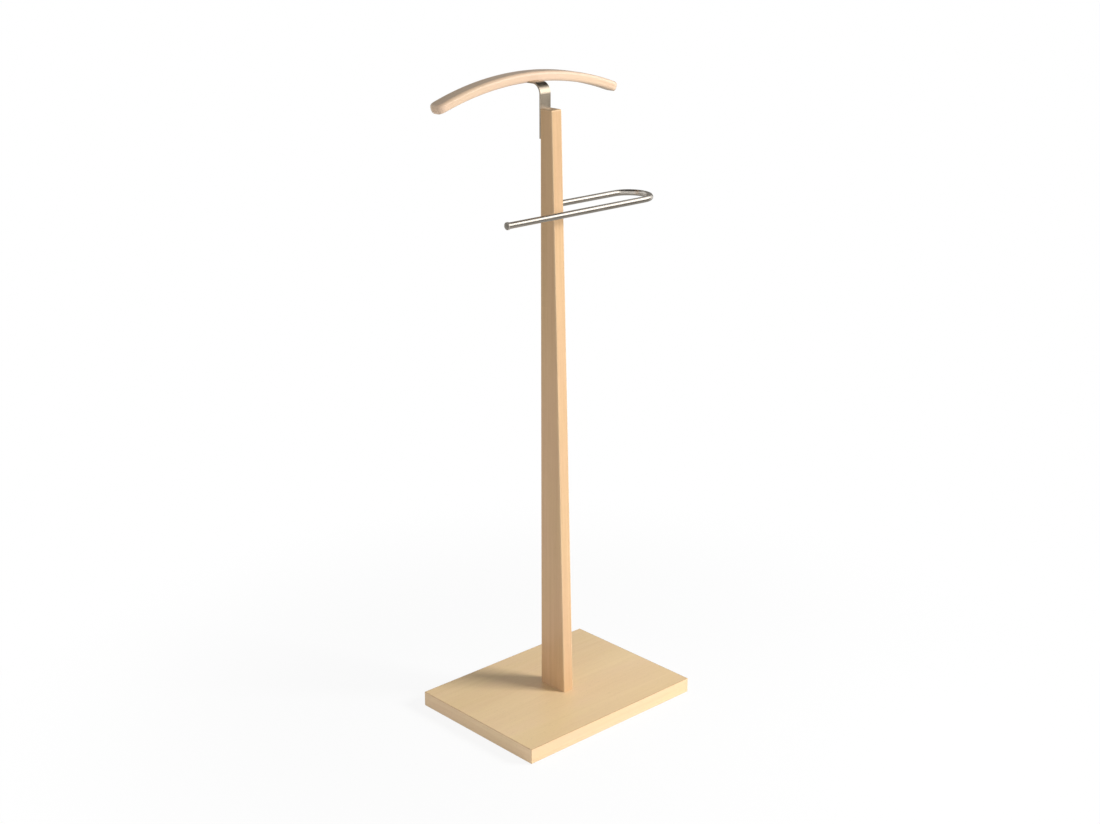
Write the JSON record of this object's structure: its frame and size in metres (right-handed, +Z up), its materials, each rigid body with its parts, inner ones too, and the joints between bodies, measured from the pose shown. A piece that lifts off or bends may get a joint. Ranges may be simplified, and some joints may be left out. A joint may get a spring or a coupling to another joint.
{
  "type": "clothes valet stand",
  "caption": "Free-standing clothes valet: a wooden base and tapered post carry an arched jacket hanger on a bent steel strip and a U-shaped steel trouser bar.",
  "frame": {"origin": "on the floor, under the middle of the square-edged base", "axes": "+Z up along the post; +X to the right, along the base's long side, towards the bend of the trouser bar; -Y to the front, where the trouser bar is; the hanger is behind the post, at +Y"},
  "size_m": [0.4228, 0.3, 1.1785],
  "materials": {
    "maple_veneer": "satin clear lacquer over maple veneer",
    "edge_band": "satin clear lacquer over maple edge banding",
    "board_core": "raw particle board",
    "maple": "satin clear lacquer over solid maple",
    "hanger_wood": "satin clear lacquer over solid pale wood, rounded edges",
    "dowel_wood": "raw beech",
    "satin_steel": "satin nickel plate",
    "zinc_steel": "bright zinc plate",
    "insert_brass": "plain brass",
    "glide_plastic": "off-white polyethylene"
  },
  "bodies": {
    "root": {"base_core": "board_core", "top_veneer": "maple_veneer", "bottom_veneer": "maple_veneer", "edge_band_front": "edge_band", "edge_band_back": "edge_band", "edge_band_left": "edge_band", "edge_band_right": "edge_band", "glides": "glide_plastic", "glide_nails": "zinc_steel", "post": "maple", "post_inserts": "insert_brass", "post_bolts": "zinc_steel", "bolt_washers": "zinc_steel", "post_dowel": "dowel_wood", "hanger_bracket": "satin_steel", "bracket_screws": "zinc_steel", "hanger": "hanger_wood", "hanger_screws": "zinc_steel", "trouser_bar": "satin_steel", "bar_end_stop": "satin_steel", "bar_lock_screw": "zinc_steel"}
  },
  "joints": []
}
